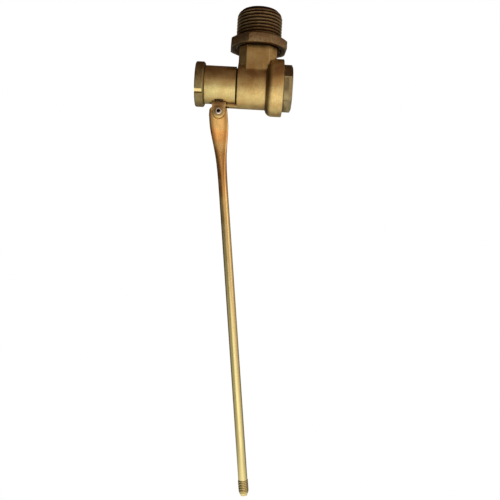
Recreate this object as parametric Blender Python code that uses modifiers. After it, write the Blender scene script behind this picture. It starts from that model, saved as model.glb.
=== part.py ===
"""Float valve with a one-inch male inlet, a tee-shaped casting and a long hanging lever.

Frame: metres, +Z up. The origin is the centre of the inlet's open end, and the inlet hangs down from it.
The body lies along X: +X from the slotted end ring towards the hexagon plug, +Y away from the pin's front.
The valve is closed as modelled: the lever's rounded nose has drawn the plunger onto the seat, towards -X.
"""
import math

import bmesh
import bpy
from mathutils import Matrix, Vector

MM = 0.001
GAP = 0.3 * MM

# Inlet: one-inch parallel pipe thread on a square neck
THREAD_RADIUS = 16.62 * MM
THREAD_PITCH = 2.309 * MM
THREAD_DEPTH = 1.35 * MM
THREAD_CHAMFER = 1.8 * MM
THREAD_RIDGES = 11
INLET_BORE = 12.0 * MM
NECK_WIDTH = 27.5 * MM
NECK_CORNER = 5.6 * MM
NECK_TOP = -27.9 * MM
PASSAGE_RADIUS = 9.0 * MM
PASSAGE_X = 2.0 * MM
PASSAGE_TOP = -30.0 * MM

# Backnut: octagonal, run up against the square neck
NUT_CORNER_RADIUS = 21.9 * MM
NUT_TOP = -20.66 * MM
NUT_BOTTOM = -27.6 * MM
NUT_TURN = math.radians(4.0)
NUT_CHAMFER = 1.6 * MM

# Body, turned along X about the line Y = 0, Z = BODY_Z
BODY_Z = -54.6 * MM
JOINT_X = -14.0 * MM
CENTRE_RADIUS = 16.3 * MM
BELL_LEFT = 7.0 * MM
BELL_RIGHT = 19.4 * MM
BELL_RADIUS = 20.7 * MM
BELL_SHOULDER = 5.0 * MM
CHAMBER_RADIUS = 14.0 * MM
PLUG_LEDGE_X = 9.5 * MM
PLUG_BORE = 16.6 * MM
WEB_RIGHT = -7.4 * MM
WEB_LEFT = -10.0 * MM
WEB_HOLE = 10.0 * MM
SOCKET_RADIUS = 12.6 * MM
RECESS_DEPTH = 0.4 * MM

# Barrel and end ring
BARREL_RADIUS = 13.8 * MM
BARREL_BORE = 11.2 * MM
BARREL_END_RADIUS = 13.1 * MM
BARREL_SHOULDER_X = -37.7 * MM
BARREL_LEFT = -42.3 * MM
RING_LEFT = -44.5 * MM
RING_RADIUS = 16.25 * MM
RING_CHAMFER = 0.9 * MM
RING_RIGHT = -38.0 * MM
RING_BORE = 9.5 * MM
RING_NOTCH_WIDTH = 3.3 * MM
RING_NOTCH_DEPTH = 1.65 * MM
RING_NOTCH_LENGTH = 5.1 * MM
RING_NOTCH_ANGLE = math.radians(-31.0)

# Hexagon plug in the bell
HEX_CORNER_RADIUS = 17.0 * MM
HEX_RIGHT = 26.1 * MM
HEX_TURN = math.radians(44.0)
PLUG_LEFT = 11.1 * MM
PLUG_CUP_RADIUS = 13.3 * MM
PLUG_CUP_RIGHT = 22.4 * MM

# Pivot, ears and lever
PIVOT = Vector((-26.75 * MM, 0.0, -74.6 * MM))
PIN_RADIUS = 2.0 * MM
PIN_BORE = 1.1 * MM
PIN_HEAD_RADIUS = 2.6 * MM
PIN_HEAD = 0.9 * MM
EAR_RADIUS = 4.9 * MM
EAR_OUTER_Y = 5.0 * MM
EAR_INNER_Y = 2.1 * MM
TONGUE_HALF_WIDTH = 3.4 * MM
TONGUE_DROP = 16.0 * MM
LEVER_LENGTH = 283.4 * MM
LEVER_TILT = math.radians(6.91)
LEVER_ASIDE = -0.45 * MM
LEVER_HALF_THICKNESS = 1.8 * MM
ROD_RADIUS = 3.4 * MM
ROD_THREAD_RADIUS = 3.75 * MM
ROD_THREAD_LENGTH = 11.8 * MM
ROD_TIP_RADIUS = 2.6 * MM
ROD_TAPER = 3.6 * MM
NOSE_ARM = 13.0 * MM
NOSE_RADIUS = 3.0 * MM
NOSE_WAIST = 2.2 * MM
NOSE_LEAN = math.radians(17.5)

# Plunger, on the body's axis; X values are for the closed valve
STEM_RADIUS = 3.4 * MM
STEM_THREAD = 2.5 * MM
STEM_HOLE = STEM_THREAD + GAP
STEM_RIGHT = 9.2 * MM
STEM_SHOULDER_RIGHT = -4.3 * MM
STEM_SHOULDER_LEFT = -15.5 * MM
STEM_LEFT = -25.7 * MM
GUIDE_LEFT = -36.9 * MM
GUIDE_RIGHT = -19.3 * MM
GUIDE_HUB = 5.0 * MM
GUIDE_WING_RADIUS = 10.9 * MM
SEAT_BORE = 8.3 * MM
SEAT_LIP_X = -3.0 * MM
DISC_RADIUS = 11.8 * MM
WASHER_RADIUS = 10.6 * MM

ROUND_STEPS = 40
SMALL_STEPS = 20
SMOOTH_ANGLE = math.radians(35.0)


def clear_scene():
    for obj in list(bpy.data.objects):
        bpy.data.objects.remove(obj, do_unlink=True)


def new_collection(name):
    collection = bpy.data.collections.new(name)
    bpy.context.scene.collection.children.link(collection)
    return collection


clear_scene()
PARTS = new_collection("float_valve")
HELPERS = new_collection("cutters")


def metal(name, colour, roughness, metallic=1.0):
    """A Principled material with one colour."""
    mat = bpy.data.materials.new(name)
    mat.use_nodes = True
    shader = mat.node_tree.nodes["Principled BSDF"]
    shader.inputs["Base Color"].default_value = (*colour, 1.0)
    shader.inputs["Roughness"].default_value = roughness
    shader.inputs["Metallic"].default_value = metallic
    mat.diffuse_color = (*colour, 1.0)
    return mat


CAST_BRASS = metal("cast_brass", (0.55, 0.40, 0.17), 0.45)
DARK_BRASS = metal("dark_brass", (0.22, 0.17, 0.09), 0.6)
TURNED_BRASS = metal("turned_brass", (0.72, 0.56, 0.25), 0.28)
LEVER_BRASS = metal("lever_brass", (0.78, 0.57, 0.24), 0.25)
BRIGHT_STEEL = metal("bright_steel", (0.75, 0.75, 0.74), 0.25)
BLACK_RUBBER = metal("black_rubber", (0.03, 0.03, 0.03), 0.7, 0.0)
FIBRE = metal("red_fibre", (0.35, 0.08, 0.05), 0.8, 0.0)


def place(obj, material=None):
    """Put a finished piece among the parts, or a helper among the cutters."""
    if material is None:
        HELPERS.objects.link(obj)
        obj.hide_render = True
        obj.display_type = "WIRE"
    else:
        PARTS.objects.link(obj)
        obj.data.materials.append(material)
    return obj


def from_bmesh(name, shape, material=None):
    mesh = bpy.data.meshes.new(name)
    bmesh.ops.recalc_face_normals(shape, faces=shape.faces)
    shape.to_mesh(mesh)
    shape.free()
    return place(bpy.data.objects.new(name, mesh), material)


def turned(name, outline, axis="Z", material=None, steps=ROUND_STEPS, closed=True, centre=(0.0, 0.0, 0.0)):
    """Revolve (radius, height) points; they run down the outer side first. axis X puts height along +X."""
    points = [(radius, 0.0, height) for radius, height in outline]
    edges = [(i, i + 1) for i in range(len(points) - 1)]
    if closed:
        edges.append((len(points) - 1, 0))
    mesh = bpy.data.meshes.new(name)
    mesh.from_pydata(points, edges, [])
    obj = place(bpy.data.objects.new(name, mesh), material)
    screw = obj.modifiers.new("turn", "SCREW")
    screw.steps = steps
    screw.render_steps = steps
    screw.use_merge_vertices = True
    screw.merge_threshold = 0.000001
    obj.location = centre
    if axis == "X":
        obj.rotation_euler = (0.0, math.radians(90.0), 0.0)
    if axis == "Y":
        obj.rotation_euler = (math.radians(-90.0), 0.0, 0.0)
    return obj


def along_body(name, outline, material=None, steps=ROUND_STEPS, closed=True):
    """Revolve (radius, x) points about the body's axis; they run from +X to -X on the outer side."""
    return turned(name, outline, "X", material, steps, closed, (0.0, 0.0, BODY_Z))


def ring_outline(inner, outer, low, high):
    return [(inner, high), (outer, high), (outer, low), (inner, low)]


def rod_outline(radius, low, high):
    return [(0.0, high), (radius, high), (radius, low), (0.0, low)]


def box(name, low, high, material=None):
    """A box between two corners."""
    size = [b - a for a, b in zip(low, high)]
    middle = [(a + b) / 2.0 for a, b in zip(low, high)]
    shape = bmesh.new()
    bmesh.ops.create_cube(shape, size=1.0, matrix=Matrix.Translation(middle) @ Matrix.Diagonal((*size, 1.0)))
    return from_bmesh(name, shape, material)


def prism(name, sides, radius, low, high, turn, to_world, material=None):
    """A regular prism with corners at the given radius, from low to high along its own Z."""
    shape = bmesh.new()
    lift = Matrix.Translation((0.0, 0.0, (low + high) / 2.0)) @ Matrix.Rotation(turn, 4, "Z")
    bmesh.ops.create_cone(
        shape, cap_ends=True, segments=sides, radius1=radius, radius2=radius, depth=high - low, matrix=lift
    )
    bmesh.ops.transform(shape, matrix=to_world, verts=shape.verts)
    return from_bmesh(name, shape, material)


TO_BODY = Matrix.Translation((0.0, 0.0, BODY_Z)) @ Matrix.Rotation(math.radians(90.0), 4, "Y")


def boolean(obj, other, operation):
    modifier = obj.modifiers.new(other.name, "BOOLEAN")
    modifier.operation = operation
    modifier.object = other
    modifier.solver = "EXACT"
    return obj


def cut(obj, *cutters):
    for cutter in cutters:
        boolean(obj, cutter, "DIFFERENCE")


def join(obj, *others):
    for other in others:
        boolean(obj, other, "UNION")


def inlet_outline():
    """The threaded inlet from its open end down to the neck: chamfer, ridges, plain root."""
    root = THREAD_RADIUS - THREAD_DEPTH
    points = [(0.0, 0.0), (THREAD_RADIUS - THREAD_CHAMFER, 0.0), (THREAD_RADIUS, -THREAD_CHAMFER)]
    for ridge in range(THREAD_RIDGES):
        crest = -THREAD_CHAMFER - ridge * THREAD_PITCH
        points.append((root, crest - THREAD_PITCH / 2.0))
        if ridge < THREAD_RIDGES - 1:
            points.append((THREAD_RADIUS, crest - THREAD_PITCH))
    low = NECK_TOP - GAP
    points += [(root, low), (NECK_WIDTH / 2.0 - GAP, low), (NECK_WIDTH / 2.0 - GAP, low - 3.0 * MM)]
    points.append((0.0, low - 3.0 * MM))
    return points


def casting_outline():
    """The centre cylinder and the bell with its rounded left shoulder, along X."""
    edge = 0.6 * MM
    points = [(0.0, BELL_RIGHT), (BELL_RADIUS - edge, BELL_RIGHT), (BELL_RADIUS, BELL_RIGHT - edge)]
    arc_x = BELL_LEFT + BELL_SHOULDER
    arc_radius = BELL_RADIUS - BELL_SHOULDER
    arc_steps = 6
    for i in range(arc_steps + 1):
        angle = math.radians(90.0) * i / arc_steps
        x = arc_x - BELL_SHOULDER * math.sin(angle)
        radius = arc_radius + BELL_SHOULDER * math.cos(angle)
        if radius > CENTRE_RADIUS:
            points.append((radius, x))
    points += [(CENTRE_RADIUS, BELL_LEFT + 0.02 * MM), (CENTRE_RADIUS, JOINT_X + edge)]
    points += [(CENTRE_RADIUS - edge, JOINT_X), (0.0, JOINT_X)]
    return points


def body_bore_outline():
    """Everything hollow along the body's axis, from the plug bore to the barrel's clearance."""
    recess_x = JOINT_X + RECESS_DEPTH
    return [
        (0.0, 30.0 * MM),
        (PLUG_BORE, 30.0 * MM),
        (PLUG_BORE, PLUG_LEDGE_X),
        (CHAMBER_RADIUS, PLUG_LEDGE_X),
        (CHAMBER_RADIUS, WEB_RIGHT),
        (WEB_HOLE, WEB_RIGHT),
        (WEB_HOLE, WEB_LEFT),
        (SOCKET_RADIUS, WEB_LEFT),
        (SOCKET_RADIUS, recess_x),
        (BARREL_RADIUS + GAP, recess_x),
        (BARREL_RADIUS + GAP, -60.0 * MM),
        (0.0, -60.0 * MM),
    ]


def neck_block():
    """The square neck with its four upright edges cut off, down to the body's axis."""
    half = NECK_WIDTH / 2.0
    neck = box("neck_block", (-half, -half, BODY_Z), (half, half, NECK_TOP))
    shape = bmesh.new()
    shape.from_mesh(neck.data)
    upright = [e for e in shape.edges if abs(e.verts[0].co.z - e.verts[1].co.z) > NECK_CORNER]
    bmesh.ops.bevel(shape, geom=upright, offset=NECK_CORNER, segments=1, affect="EDGES")
    shape.to_mesh(neck.data)
    shape.free()
    return neck


def ear_blocks():
    """The tongue under the barrel and the lug that becomes two ears round the pivot."""
    bottom = BODY_Z - TONGUE_DROP
    inside = BODY_Z - CHAMBER_RADIUS + GAP
    tongue = box(
        "tongue", (PIVOT.x, -TONGUE_HALF_WIDTH, bottom), (JOINT_X + 3.0 * MM, TONGUE_HALF_WIDTH, inside)
    )
    lug_left = PIVOT.x - EAR_RADIUS - 0.3 * MM
    lug_right = PIVOT.x + EAR_RADIUS + 0.5 * MM
    lug = box("lug", (lug_left, -EAR_OUTER_Y, bottom - GAP), (lug_right, EAR_OUTER_Y, BODY_Z - 11.0 * MM))
    ear_box = box(
        "ear_box",
        (PIVOT.x - EAR_RADIUS, -EAR_OUTER_Y + 0.02 * MM, PIVOT.z),
        (PIVOT.x + EAR_RADIUS, EAR_OUTER_Y - 0.02 * MM, bottom + 1.0 * MM),
    )
    ear_round = turned(
        "ear_round", rod_outline(EAR_RADIUS, -EAR_OUTER_Y + 0.02 * MM, EAR_OUTER_Y - 0.02 * MM), "Y",
        steps=SMALL_STEPS + 1, closed=False, centre=PIVOT,
    )
    return tongue, lug, ear_box, ear_round


def valve_body():
    body = along_body("valve_body", casting_outline(), CAST_BRASS, closed=False)
    inlet = turned("inlet_thread", inlet_outline(), closed=False)
    join(body, neck_block(), inlet, *ear_blocks())
    bore = along_body("body_bore", body_bore_outline(), closed=False)
    mouth = turned("inlet_bore", rod_outline(INLET_BORE, PASSAGE_TOP - 1.0 * MM, 5.0 * MM), closed=False)
    passage = turned(
        "inlet_passage", rod_outline(PASSAGE_RADIUS, BODY_Z, PASSAGE_TOP), closed=False,
        steps=SMALL_STEPS + 4, centre=(PASSAGE_X, 0.0, 0.0),
    )
    fork_right = PIVOT.x + 7.3 * MM
    fork = box(
        "fork_slot", (PIVOT.x - 12.0 * MM, -EAR_INNER_Y, PIVOT.z - 12.0 * MM), (fork_right, EAR_INNER_Y, BODY_Z)
    )
    pin_hole = turned(
        "ear_pin_hole", rod_outline(PIN_RADIUS + GAP, -10.0 * MM, 10.0 * MM), "Y", steps=SMALL_STEPS,
        closed=False, centre=PIVOT,
    )
    cut(body, bore, mouth, passage, fork, pin_hole)


def backnut():
    nut = prism(
        "backnut", 8, NUT_CORNER_RADIUS, NUT_BOTTOM, NUT_TOP, math.radians(22.5) + NUT_TURN, Matrix(), DARK_BRASS
    )
    slope = 1.8 * NUT_CHAMFER
    envelope = turned(
        "nut_envelope",
        [
            (0.0, NUT_TOP + 1.0 * MM),
            (NUT_CORNER_RADIUS + 0.1 * MM - slope - slope, NUT_TOP + 1.0 * MM),
            (NUT_CORNER_RADIUS + 0.1 * MM - slope, NUT_TOP),
            (NUT_CORNER_RADIUS + 0.1 * MM, NUT_TOP - NUT_CHAMFER),
            (NUT_CORNER_RADIUS + 0.1 * MM, NUT_BOTTOM - 1.0 * MM),
            (0.0, NUT_BOTTOM - 1.0 * MM),
        ],
        closed=False,
    )
    boolean(nut, envelope, "INTERSECT")
    hole = turned(
        "nut_hole", rod_outline(THREAD_RADIUS + GAP, NUT_BOTTOM - 1.5 * MM, NUT_TOP + 1.5 * MM), closed=False
    )
    cut(nut, hole)


def outlet_barrel():
    edge = 0.6 * MM
    right = WEB_LEFT - GAP
    face = JOINT_X + RECESS_DEPTH - GAP
    outline = [
        (BARREL_BORE, right),
        (SOCKET_RADIUS - GAP, right),
        (SOCKET_RADIUS - GAP, face),
        (BARREL_RADIUS - edge, face),
        (BARREL_RADIUS, face - edge),
        (BARREL_RADIUS, BARREL_SHOULDER_X),
        (BARREL_END_RADIUS, BARREL_SHOULDER_X),
        (BARREL_END_RADIUS, BARREL_LEFT),
        (BARREL_BORE, BARREL_LEFT),
    ]
    barrel = along_body("outlet_barrel", outline, TURNED_BRASS)
    slot = box(
        "nose_slot", (PIVOT.x - 7.1 * MM, -2.4 * MM, BODY_Z - 20.0 * MM), (PIVOT.x + 7.1 * MM, 2.4 * MM, BODY_Z)
    )
    pocket = box(
        "nose_pocket",
        (PIVOT.x - 3.3 * MM, -7.0 * MM, BODY_Z - 20.0 * MM),
        (PIVOT.x + 3.3 * MM, 7.0 * MM, BODY_Z - 7.5 * MM),
    )
    cut(barrel, slot, pocket)


def end_ring():
    edge = 0.55 * MM
    outline = [
        (BARREL_END_RADIUS + GAP, RING_RIGHT),
        (RING_RADIUS - RING_CHAMFER, RING_RIGHT),
        (RING_RADIUS, RING_RIGHT - RING_CHAMFER),
        (RING_RADIUS, RING_LEFT + edge),
        (RING_RADIUS - edge, RING_LEFT),
        (RING_BORE, RING_LEFT),
        (RING_BORE, BARREL_LEFT - GAP),
        (BARREL_END_RADIUS + GAP, BARREL_LEFT - GAP),
    ]
    ring = along_body("end_ring", outline, TURNED_BRASS)
    for side in range(2):
        name = "ring_notch_%d" % (side + 1)
        half = RING_NOTCH_WIDTH / 2.0
        floor = RING_RADIUS - RING_NOTCH_DEPTH
        notch = box(
            name, (RING_LEFT - 1.0 * MM, -RING_RADIUS - 2.0 * MM, -half), (RING_LEFT + RING_NOTCH_LENGTH, -floor, half)
        )
        turn = Matrix.Rotation(-RING_NOTCH_ANGLE + side * math.pi, 4, "X")
        notch.matrix_world = Matrix.Translation((0.0, 0.0, BODY_Z)) @ turn
        cut(ring, notch)


def hex_plug():
    hexagon_left = BELL_RIGHT + GAP
    shank = along_body(
        "hex_plug", rod_outline(PLUG_BORE - GAP, PLUG_LEFT, hexagon_left + 0.1 * MM), CAST_BRASS, closed=False
    )
    hexagon = prism(
        "plug_hexagon", 6, HEX_CORNER_RADIUS, hexagon_left, HEX_RIGHT, HEX_TURN, TO_BODY
    )
    chamfer = 1.0 * MM
    wide = HEX_CORNER_RADIUS + 0.1 * MM
    envelope = along_body(
        "hexagon_envelope",
        [
            (0.0, HEX_RIGHT + 1.0 * MM),
            (wide - 4.0 * chamfer, HEX_RIGHT + 1.0 * MM),
            (wide - 2.0 * chamfer, HEX_RIGHT),
            (wide, HEX_RIGHT - chamfer),
            (wide, hexagon_left - 1.0 * MM),
            (0.0, hexagon_left - 1.0 * MM),
        ],
        closed=False,
    )
    boolean(hexagon, envelope, "INTERSECT")
    join(shank, hexagon)
    cup = along_body(
        "plug_cup", rod_outline(PLUG_CUP_RADIUS, PLUG_LEFT - 5.0 * MM, PLUG_CUP_RIGHT), closed=False
    )
    cut(shank, cup)


def seals_and_seat():
    along_body(
        "plug_gasket",
        ring_outline(CHAMBER_RADIUS + GAP, PLUG_BORE - GAP, PLUG_LEDGE_X + GAP, PLUG_LEFT - GAP),
        FIBRE,
    )
    gasket_left = WEB_RIGHT + GAP
    gasket_right = gasket_left + 1.0 * MM
    flange_radius = 12.4 * MM
    along_body("seat_gasket", ring_outline(WEB_HOLE, flange_radius, gasket_left, gasket_right), FIBRE)
    flange_left = gasket_right + GAP
    flange_right = SEAT_LIP_X - 1.0 * MM
    outline = [
        (SEAT_BORE, SEAT_LIP_X),
        (SEAT_BORE + 1.0 * MM, SEAT_LIP_X),
        (SEAT_BORE + 1.2 * MM, flange_right),
        (flange_radius, flange_right),
        (flange_radius, flange_left),
        (WEB_HOLE - GAP, flange_left),
        (WEB_HOLE - GAP, WEB_LEFT + 0.2 * MM),
        (SEAT_BORE, WEB_LEFT + 0.2 * MM),
    ]
    along_body("seat_ring", outline, TURNED_BRASS)


def pivot_pin():
    """A hollow steel pin whose two ends are rolled over the ears."""
    head_in = EAR_OUTER_Y + GAP
    head_out = head_in + PIN_HEAD
    edge = 0.35 * MM
    outline = [
        (PIN_BORE, head_out),
        (PIN_HEAD_RADIUS - edge, head_out),
        (PIN_HEAD_RADIUS, head_out - edge),
        (PIN_HEAD_RADIUS, head_in),
        (PIN_RADIUS, head_in),
        (PIN_RADIUS, -head_in),
        (PIN_HEAD_RADIUS, -head_in),
        (PIN_HEAD_RADIUS, -head_out + edge),
        (PIN_HEAD_RADIUS - edge, -head_out),
        (PIN_BORE, -head_out),
    ]
    turned("pivot_pin", outline, "Y", BRIGHT_STEEL, SMALL_STEPS, centre=PIVOT)


def lever_sections():
    """(distance below the pivot, half width, half thickness, roundness) from the nose's top to the rod's tip.

    Roundness 2 is an ellipse and larger is squarer. Distances above the pivot are negative.
    """
    flat = LEVER_HALF_THICKNESS
    sections = []
    nose_steps = 6
    for i in range(nose_steps):
        angle = math.radians(12.0 + i * 26.0)
        rise = NOSE_RADIUS * math.cos(angle)
        sections.append((-NOSE_ARM - rise, NOSE_RADIUS * math.sin(angle), flat, 6.0))
    sections.append((-NOSE_ARM + NOSE_RADIUS + 1.0 * MM, NOSE_WAIST, flat, 6.0))
    sections.append((-NOSE_ARM + NOSE_RADIUS + 3.0 * MM, NOSE_WAIST + 0.5 * MM, flat, 6.0))
    blade = [(-5.2, 3.2), (-4.6, 5.2), (-3.6, 6.2), (-1.5, 6.75), (1.0, 6.9), (8.0, 6.9), (13.0, 6.65)]
    blade += [(19.0, 5.9), (25.0, 5.05), (31.0, 4.32), (37.0, 3.87), (44.0, 3.6)]
    for distance, half_width in blade:
        fraction = min(max((distance - 12.0) / 40.0, 0.0), 1.0)
        thick = flat + (ROD_RADIUS - flat) * fraction
        sections.append((distance * MM, half_width * MM, thick, 6.0 - 4.0 * fraction))
    sections.append((56.0 * MM, ROD_RADIUS, ROD_RADIUS, 2.0))
    thread_start = LEVER_LENGTH - ROD_THREAD_LENGTH
    sections.append((thread_start, ROD_RADIUS, ROD_RADIUS, 2.0))
    sections.append((thread_start + 0.3 * MM, ROD_THREAD_RADIUS, ROD_THREAD_RADIUS, 2.0))
    sections.append((LEVER_LENGTH - ROD_TAPER, ROD_THREAD_RADIUS, ROD_THREAD_RADIUS, 2.0))
    sections.append((LEVER_LENGTH, ROD_TIP_RADIUS, ROD_TIP_RADIUS, 2.0))
    return sections


def float_lever():
    """A loft from the flat nose and blade to the round rod, in the lever's own plane."""
    ring_points = 16
    down = Vector((math.sin(LEVER_TILT), 0.0, -math.cos(LEVER_TILT)))
    nose_up = Vector((-math.sin(NOSE_LEAN), 0.0, math.cos(NOSE_LEAN)))
    bend_zone = 4.0 * MM
    shape = bmesh.new()
    rings = []
    for distance, half_width, half_thickness, power in lever_sections():
        if distance < 0.0:
            blend = min(1.0, -distance / bend_zone)
            along = (-down).lerp(nose_up, blend).normalized()
            middle = nose_up * -distance
            facing = -along
        else:
            middle = down * distance + Vector((LEVER_ASIDE, 0.0, 0.0))
            facing = down
        side = Vector((-facing.z, 0.0, facing.x))
        ring = []
        for k in range(ring_points):
            angle = 2.0 * math.pi * k / ring_points
            c = math.cos(angle)
            s = math.sin(angle)
            across = half_width * math.copysign(abs(c) ** (2.0 / power), c)
            through = half_thickness * math.copysign(abs(s) ** (2.0 / power), s)
            ring.append(shape.verts.new(PIVOT + middle + side * across + Vector((0.0, through, 0.0))))
        rings.append(ring)
    for upper, lower in zip(rings, rings[1:]):
        for k in range(ring_points):
            after = (k + 1) % ring_points
            shape.faces.new((upper[k], upper[after], lower[after], lower[k]))
    shape.faces.new(rings[0])
    shape.faces.new(list(reversed(rings[-1])))
    lever = from_bmesh("float_lever", shape, LEVER_BRASS)
    hole = turned(
        "lever_pin_hole", rod_outline(PIN_RADIUS + GAP, -9.0 * MM, 9.0 * MM), "Y", steps=SMALL_STEPS,
        closed=False, centre=PIVOT,
    )
    cut(lever, hole)


def plunger_stem():
    outline = [
        (0.0, STEM_RIGHT),
        (STEM_THREAD, STEM_RIGHT),
        (STEM_THREAD, STEM_SHOULDER_RIGHT),
        (STEM_RADIUS, STEM_SHOULDER_RIGHT),
        (STEM_RADIUS, STEM_SHOULDER_LEFT),
        (STEM_THREAD, STEM_SHOULDER_LEFT),
        (STEM_THREAD, STEM_LEFT),
        (0.0, STEM_LEFT),
    ]
    along_body("plunger_stem", outline, TURNED_BRASS, SMALL_STEPS, closed=False)


def winged_guide():
    """The plunger's tail: a hub with four wings in the bore, the lowest notched for the lever's nose."""
    hub = along_body(
        "winged_guide", rod_outline(GUIDE_HUB, GUIDE_LEFT, GUIDE_RIGHT), TURNED_BRASS, SMALL_STEPS, closed=False
    )
    reach = GUIDE_WING_RADIUS + 1.0 * MM
    half_wing = 1.2 * MM
    half_foot = 3.0 * MM
    wing_left = GUIDE_LEFT + 0.02 * MM
    wing_right = GUIDE_RIGHT - 1.2 * MM
    upright = box("wing_up", (wing_left, -half_wing, BODY_Z), (wing_right, half_wing, BODY_Z + reach))
    level = box(
        "wing_level",
        (wing_left, -reach, BODY_Z - half_wing - 0.01 * MM),
        (wing_right, reach, BODY_Z + half_wing + 0.01 * MM),
    )
    foot = box("wing_foot", (wing_left, -half_foot, BODY_Z - reach), (wing_right, half_foot, BODY_Z - 1.0 * MM))
    join(hub, upright, level, foot)
    envelope = along_body(
        "guide_envelope", rod_outline(GUIDE_WING_RADIUS, GUIDE_LEFT - 2.0 * MM, GUIDE_RIGHT + 2.0 * MM),
        closed=False,
    )
    boolean(hub, envelope, "INTERSECT")
    stem_hole = along_body(
        "guide_hole", rod_outline(STEM_HOLE, STEM_LEFT - GAP, GUIDE_RIGHT + 5.0 * MM), steps=SMALL_STEPS,
        closed=False,
    )
    nose_x = PIVOT.x - NOSE_ARM * math.sin(NOSE_LEAN)
    half_notch = NOSE_RADIUS + GAP
    notch_top = PIVOT.z + NOSE_ARM + NOSE_RADIUS + GAP
    notch = box(
        "nose_notch",
        (nose_x - half_notch, -5.0 * MM, BODY_Z - 15.0 * MM),
        (nose_x + half_notch, 5.0 * MM, notch_top),
    )
    cut(hub, stem_hole, notch)


def plunger_head():
    """Rubber seat washer in its brass cup, clamped between a small washer and a nut on the stem."""
    washer_left = SEAT_LIP_X + GAP
    washer_right = washer_left + 3.5 * MM
    along_body("seat_washer", ring_outline(STEM_HOLE, WASHER_RADIUS, washer_left, washer_right), BLACK_RUBBER)
    cup_floor = washer_right + GAP
    cup_right = cup_floor + 2.8 * MM
    cup_outline = [
        (STEM_HOLE, cup_right),
        (DISC_RADIUS - 0.6 * MM, cup_right),
        (DISC_RADIUS, cup_right - 0.6 * MM),
        (DISC_RADIUS, washer_left + 1.5 * MM),
        (WASHER_RADIUS + GAP, washer_left + 1.5 * MM),
        (WASHER_RADIUS + GAP, cup_floor),
        (STEM_HOLE, cup_floor),
    ]
    along_body("disc_holder", cup_outline, TURNED_BRASS)
    small_right = washer_left - GAP
    along_body(
        "retaining_washer", ring_outline(STEM_HOLE, 5.0 * MM, small_right - 1.0 * MM, small_right), TURNED_BRASS,
        SMALL_STEPS,
    )
    return cup_right


def stem_nut(name, left, right, across_flats):
    corner = across_flats / math.sqrt(3.0)
    nut = prism(name, 6, corner, left, right, 0.0, TO_BODY, TURNED_BRASS)
    hole = along_body(
        name + "_hole", rod_outline(STEM_HOLE, left - 1.0 * MM, right + 1.0 * MM), steps=SMALL_STEPS, closed=False
    )
    cut(nut, hole)


def plunger_nuts(cup_right):
    stem_nut("retaining_nut", cup_right + GAP, cup_right + GAP + 3.6 * MM, 9.0 * MM)
    stem_nut("guide_lock_nut", GUIDE_RIGHT + GAP, STEM_SHOULDER_LEFT - GAP, 8.0 * MM)


def shade_round_pieces():
    """Apply each part's modifiers to its own mesh and shade it smooth between its sharp edges."""
    bpy.context.view_layer.update()
    graph = bpy.context.evaluated_depsgraph_get()
    finished = {}
    for obj in PARTS.objects:
        finished[obj] = bpy.data.meshes.new_from_object(obj.evaluated_get(graph))
    for obj, mesh in finished.items():
        obj.modifiers.clear()
        obj.data = mesh
        mesh.shade_smooth()
        mesh.set_sharp_from_angle(angle=SMOOTH_ANGLE)


valve_body()
backnut()
outlet_barrel()
end_ring()
hex_plug()
seals_and_seat()
pivot_pin()
float_lever()
plunger_stem()
winged_guide()
plunger_nuts(plunger_head())
shade_round_pieces()
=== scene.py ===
"""Float valve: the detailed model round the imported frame, its finishes and its stage."""

import math

import bmesh
import bpy
from mathutils import Matrix, Vector


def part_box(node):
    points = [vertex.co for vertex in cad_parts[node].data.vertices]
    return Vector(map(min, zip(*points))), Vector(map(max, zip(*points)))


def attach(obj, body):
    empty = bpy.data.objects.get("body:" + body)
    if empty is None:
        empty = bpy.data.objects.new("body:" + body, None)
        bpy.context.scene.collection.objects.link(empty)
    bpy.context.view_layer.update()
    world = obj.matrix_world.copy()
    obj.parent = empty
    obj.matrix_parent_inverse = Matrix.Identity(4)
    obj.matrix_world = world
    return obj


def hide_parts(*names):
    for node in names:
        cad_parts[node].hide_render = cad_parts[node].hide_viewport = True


bl_info = {
    "name": "Float valve",
    "version": (1, 0, 0),
    "blender": (4, 5, 0),
    "location": "View3D > Sidebar > Float valve",
    "description": "Builds a brass float valve with its hanging lever, its finishes and its stage",
    "category": "Object",
}

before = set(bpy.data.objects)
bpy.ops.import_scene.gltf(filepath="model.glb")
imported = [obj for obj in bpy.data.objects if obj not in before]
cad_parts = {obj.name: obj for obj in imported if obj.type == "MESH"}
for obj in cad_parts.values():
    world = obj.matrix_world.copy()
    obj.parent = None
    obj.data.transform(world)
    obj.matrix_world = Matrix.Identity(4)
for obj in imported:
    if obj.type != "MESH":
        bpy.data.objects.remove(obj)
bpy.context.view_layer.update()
MM = 0.001

body_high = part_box("valve_body")[1]
barrel_low, barrel_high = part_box("outlet_barrel")
ring_low, ring_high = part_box("end_ring")
plug_low, plug_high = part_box("hex_plug")
nut_low, nut_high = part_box("backnut")
pin_low, pin_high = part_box("pivot_pin")
lever_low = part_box("float_lever")[0]

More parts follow.
